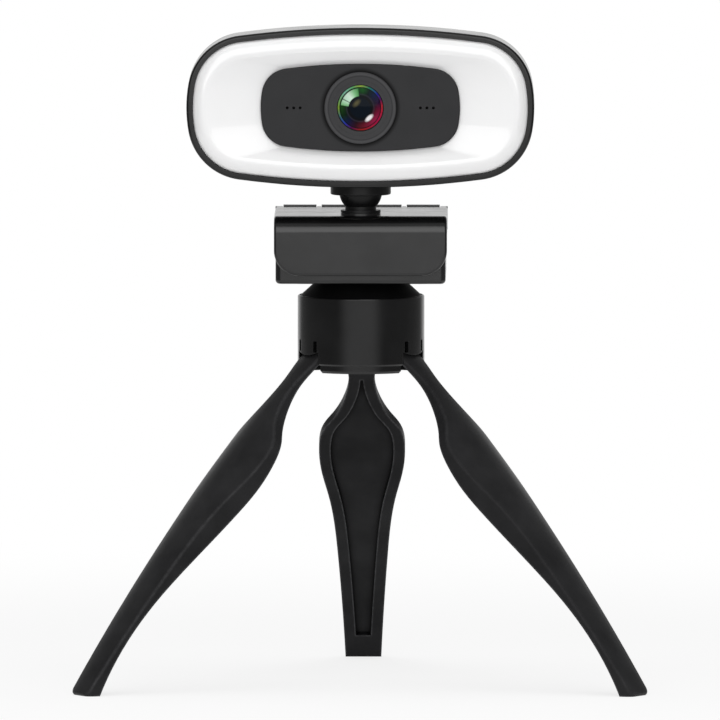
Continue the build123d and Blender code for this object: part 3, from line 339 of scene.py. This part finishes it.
def lens_painted_reflections(name):
    """Opaque front glass painted with its coatings' reflections, a rainbow ring, a green window and a
    crimson arc, with painted glints and a dark pupil of painted shade.
    """
    finish = Finish(name)
    flat, radius = finish.round_the_lens()
    part = finish.add("ShaderNodeSeparateXYZ", {"Vector": flat})
    angle = finish.math("ARCTAN2", part.outputs["Z"], part.outputs["X"])
    share = finish.span(angle, -math.pi, math.pi)

    def spot(middle_x, middle_z, tilt, length, width):
        """0 in the middle of a tilted oval, 1 on its border and more outside it."""
        cos, sin = math.cos(math.radians(tilt)), math.sin(math.radians(tilt))
        offset = finish.vector("SUBTRACT", flat, (middle_x, 0, middle_z))
        along = finish.vector("DOT_PRODUCT", offset, (cos / length, 0, sin / length), "Value")
        aside = finish.vector("DOT_PRODUCT", offset, (-sin / width, 0, cos / width), "Value")
        squares = [finish.math("POWER", side, 2.0) for side in (along, aside)]
        return finish.math("SQRT", finish.math("ADD", *squares))

    # Painted shade for the lens's dark inside, and painted glints.
    dark = rgb(0.003, 0.004, 0.006)
    pupil = rgb(0.002, 0.005, 0.010)
    olive_glint = rgb(0.09, 0.08, 0.035)
    barrel = rgb(0.045, 0.04, 0.06)
    lamp_glint = rgb(0.9, 0.87, 0.88)
    rim_reflection = finish.colour_round(share, RIM_REFLECTION_COLOURS)
    arc_reflections = finish.colour_round(share, ARC_REFLECTION_COLOURS)
    window_reflection = finish.colour_round(share, WINDOW_REFLECTION_COLOURS, closed=False)

    between_sides = finish.band(share, *map(turn, WINDOW_REFLECTION_SIDES), 0.004)
    in_window_reflection = finish.math("MULTIPLY", between_sides, finish.band(radius, *WINDOW_REFLECTION_BAND, 0.08))
    outside_window_reflection = finish.span(in_window_reflection, 0.0, 0.2, 0.45, 0.0)
    on_barrel = finish.math("MULTIPLY", finish.band(radius, *BARREL_BAND, 0.15), outside_window_reflection)
    olive_spot = spot(-0.9, 1.2, tilt=45, length=1.5, width=0.8)
    lamp_spot = spot(2.2, -2.5, tilt=42, length=1.4, width=0.65)

    # Painted reflections of the coatings and a window, over painted shade inside the lens.
    colour = finish.mix(finish.span(radius, *ARCS_RISE), dark, arc_reflections)
    colour = finish.mix(in_window_reflection, colour, window_reflection)
    # Painted shade in the pupil, with a painted glint.
    middle = finish.mix(finish.span(olive_spot, 0.2, 1.0), olive_glint, pupil)
    colour = finish.mix(finish.span(radius, *PUPIL_EDGE), middle, colour)
    colour = finish.mix(on_barrel, colour, barrel)
    # Painted highlight of a lamp.
    colour = finish.mix(finish.span(lamp_spot, 1.05, 0.5), colour, lamp_glint)
    colour = finish.mix(finish.band(radius, *GAP_BAND, 0.08), colour, dark)
    colour = finish.mix(finish.span(radius, *RIM_EDGE), colour, rim_reflection)
    wiped = finish.noise(0.002, detail=3)
    finish.set(Base_Color=colour, IOR=GLASS_IOR, Specular_IOR_Level=0.05)
    finish.set(Roughness=finish.span(wiped, 0.4, 0.8, 0.03, 0.07))
    return finish.material


def circuit_board(name):
    """Green solder mask over copper tracks."""
    finish = Finish(name)
    inputs = {"Vector": finish.place, "Scale": TRACKS_PER_METRE}
    cells = finish.add("ShaderNodeTexVoronoi", inputs, distance="CHEBYCHEV")
    track = finish.span(cells.outputs["Distance"], 0.42, 0.46)
    finish.set(Base_Color=finish.mix(track, rgb(0.012, 0.09, 0.035), rgb(0.03, 0.17, 0.07)))
    finish.set(Roughness=finish.span(finish.noise(0.002), 0.3, 0.7, 0.3, 0.42))
    finish.bump(track, 0.00002)
    return finish.material


def pale_plastic(name, colour, roughness):
    """Moulded plastic of any colour with a trace of grain and shade."""
    finish = Finish(name)
    shade = finish.noise(0.003, detail=3)
    finish.set(Base_Color=finish.mix(shade, rgb(*colour), shaded(colour, 0.85)))
    finish.set(Roughness=finish.span(shade, 0.3, 0.7, roughness, roughness + 0.1))
    finish.bump(finish.noise(0.0002, detail=1), 0.000003)
    return finish.material


# The legs' broad paler edges are mostly a painted sheen, and their recesses get painted shade.
leg_black = moulded_plastic("leg_black", 0.021, 0.34, gloss=0.04, wear_and_sheen=0.09, edge=0.0008, hollow=0.002)
hub_black = moulded_plastic("hub_black", 0.004, 0.2, gloss=0.34)
neck_black = moulded_plastic("neck_black", 0.005, 0.36, gloss=0.2)
platform_black = moulded_plastic("platform_black", 0.003, 0.5, gloss=0.15)
clip_black = moulded_plastic("clip_black", 0.005, 0.21, gloss=0.5)
shell_black = moulded_plastic("shell_black", 0.005, 0.18, gloss=0.36, grain=0.0002)
# The panel's painted shade lies round the lens ring.
panel_black = moulded_plastic(
    "panel_black", 0.036, 0.5, gloss=0.06, grain=0.00022, depth=0.000005, mottling=0.06, shade=painted_ring_shade
)
# The lens ring's border is a painted highlight, with painted groove shade inside it.
ring_black = moulded_plastic(
    "ring_black", 0.05, 0.5, gloss=0.06, grain=0.0002, mottling=0.06, shade=painted_ring_bevel
)
lens_black = moulded_plastic("lens_black", 0.003, 0.55, gloss=0.2, wear_and_sheen=0.004)
frame_black = moulded_plastic("frame_black", 0.02, 0.55)
rubber = soft_rubber("rubber")
zinc = metal("zinc", (0.56, 0.56, 0.58), 0.28)
black_oxide = metal("black_oxide", (0.045, 0.045, 0.05), 0.3)
brass = metal("brass", (0.72, 0.52, 0.22), 0.26)

finishes = {
    leg_black: ("leg_rear", "leg_left", "leg_right"),
    hub_black: ("hub_shell", "hub_base_cap"),
    platform_black: ("top_platform",),
    clip_black: ("rear_arm", "clip_base"),
    neck_black: ("ball_stud", "socket_cup"),
    shell_black: ("rear_housing", "front_bezel"),
    panel_black: ("lens_panel",),
    ring_black: ("lens_ring",),
    lens_black: ("lens_barrel", "aperture_ring", "lens_holder", "microphones"),
    frame_black: ("front_frame",),
    rubber: ("platform_pad", "arm_pad", "base_pad", "jaw_pad", "cable_gland"),
    zinc: (
        "base_cap_screw", "platform_screws", "tripod_screw", "leg_pins", "clip_hinge_pin",
        "stud_washer", "stud_screw", "board_screws",
    ),
    black_oxide: ("housing_screws",),
    brass: ("thread_insert",),
    milky_plastic("opal_diffuser"): ("light_diffuser",),
    lens_painted_reflections("glass_painted_reflections"): ("front_element",),
    clear_glass("inner_glass", (0.5, 0.55, 0.7), 380.0): ("inner_element",),
    clear_glass("filter_coating", (0.85, 0.6, 0.62), 420.0): ("filter_glass",),
    circuit_board("solder_mask"): ("led_board", "camera_board"),
    pale_plastic("led_phosphor", (0.88, 0.78, 0.42), 0.35): ("leds",),
    pale_plastic("natural_nylon", (0.72, 0.7, 0.64), 0.45): ("ball_seat",),
    pale_plastic("ivory_connector", (0.78, 0.74, 0.63), 0.5): ("board_connector",),
    pale_plastic("sensor_face", (0.05, 0.04, 0.08), 0.12): ("image_sensor",),
}

for material, names in finishes.items():
    for name in names:
        piece = nodes[name]
        piece.data.materials.clear()
        piece.data.materials.append(material)

# Round surfaces shade as round: neighbouring facets share their corners, large facets lead the shading
# and only real edges stay sharp.
for piece in nodes.values():
    piece.data.shade_smooth()
    weld = piece.modifiers.new("weld", "WELD")
    weld.merge_threshold = WELD_DISTANCE
    split = piece.modifiers.new("sharp_edges", "EDGE_SPLIT")
    split.split_angle = SHARP_ANGLE
    even = piece.modifiers.new("even_shading", "WEIGHTED_NORMAL")
    even.mode = "FACE_AREA"


def make_floor():
    """Pale round floor, white to the eye and in gloss, that still takes the tripod's soft shadow."""
    bpy.ops.mesh.primitive_circle_add(
        vertices=FLOOR_CORNERS, radius=FLOOR_RADIUS, fill_type="NGON", location=(0, 0, 0)
    )
    floor = bpy.context.object
    floor.name = "floor"
    material = bpy.data.materials.new("pale_floor")
    material.use_nodes = True
    kit = Nodes(material.node_tree)
    kit.tree.nodes.clear()
    place = kit.add("ShaderNodeTexCoord").outputs["Object"]
    ray = kit.add("ShaderNodeLightPath").outputs
    seen = kit.most(ray["Is Camera Ray"], ray["Is Glossy Ray"], ray["Is Transmission Ray"])
    distance = kit.vector("LENGTH", place, output="Value")
    white = kit.span(distance, *FLOOR_WHITENS, FLOOR_WHITE, 1.0, "SMOOTHSTEP")
    paint = kit.add("ShaderNodeBsdfDiffuse", {"Color": even_grey(FLOOR_PAINT)}).outputs[0]
    glow = kit.add("ShaderNodeEmission", {"Color": even_grey(1.0), "Strength": 1.0}).outputs[0]
    both = kit.add("ShaderNodeMixShader", {0: kit.math("MULTIPLY", seen, white), 1: paint, 2: glow})
    kit.add("ShaderNodeOutputMaterial", {"Surface": both.outputs[0]})
    floor.data.materials.append(material)


def make_world():
    """White all round to the eye; in gloss white before and behind, with dim sides and a grey ceiling."""
    world = bpy.data.worlds.new("studio")
    bpy.context.scene.world = world
    world.use_nodes = True
    kit = Nodes(world.node_tree)
    kit.tree.nodes.clear()
    direction = kit.add("ShaderNodeTexCoord").outputs["Generated"]
    part = kit.add("ShaderNodeSeparateXYZ", {"Vector": direction}).outputs
    walls = kit.span(kit.math("ABSOLUTE", part["Y"]), *FRONT_REACH, SIDE_GLOSS, 1.0, "SMOOTHSTEP")
    ceiling = kit.span(part["Z"], *CEILING_REACH, 0.0, CEILING_GLOSS, "SMOOTHSTEP")
    ray = kit.add("ShaderNodeLightPath").outputs
    gloss = kit.math("MULTIPLY", ray["Is Glossy Ray"], kit.most(walls, ceiling))
    lit = kit.math("MULTIPLY", ray["Is Diffuse Ray"], ROOM_LIGHT)
    strength = kit.most(ray["Is Camera Ray"], ray["Is Transmission Ray"], gloss, lit)
    room = kit.add("ShaderNodeBackground", {"Color": even_grey(1.0), "Strength": strength})
    kit.add("ShaderNodeOutputWorld", {"Surface": room.outputs[0]})


def softbox(name, place, aim, size, power, shiny):
    lamp = bpy.data.lights.new(name, "AREA")
    lamp.shape = "RECTANGLE"
    lamp.size, lamp.size_y = size
    lamp.energy = power
    box = bpy.data.objects.new(name, lamp)
    box.location = place
    box.rotation_mode = "QUATERNION"
    box.rotation_quaternion = (Vector(aim) - Vector(place)).to_track_quat("-Z", "Y")
    box.visible_glossy = shiny
    bpy.context.scene.collection.objects.link(box)


def make_camera():
    data = bpy.data.cameras.new("camera")
    data.sensor_width = CAMERA_SENSOR_MM
    data.lens = CAMERA_SENSOR_MM * CAMERA_REACH
    camera = bpy.data.objects.new("camera", data)
    target = Vector((CAMERA_ASIDE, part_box("front_bezel")[0].y, CAMERA_HEIGHT))
    rise, side = math.radians(CAMERA_ELEVATION), math.radians(CAMERA_AZIMUTH)
    level = math.cos(rise)
    back = Vector((level * math.sin(side), -level * math.cos(side), math.sin(rise)))
    camera.location = target + back * PICTURE_WIDTH * CAMERA_REACH
    camera.rotation_mode = "QUATERNION"
    camera.rotation_quaternion = (-back).to_track_quat("-Z", "Y")
    bpy.context.scene.collection.objects.link(camera)
    bpy.context.scene.camera = camera


make_floor()
make_world()
for name, values in SOFTBOXES.items():
    softbox(name, *values)
make_camera()
bpy.context.scene.view_settings.view_transform = "Standard"
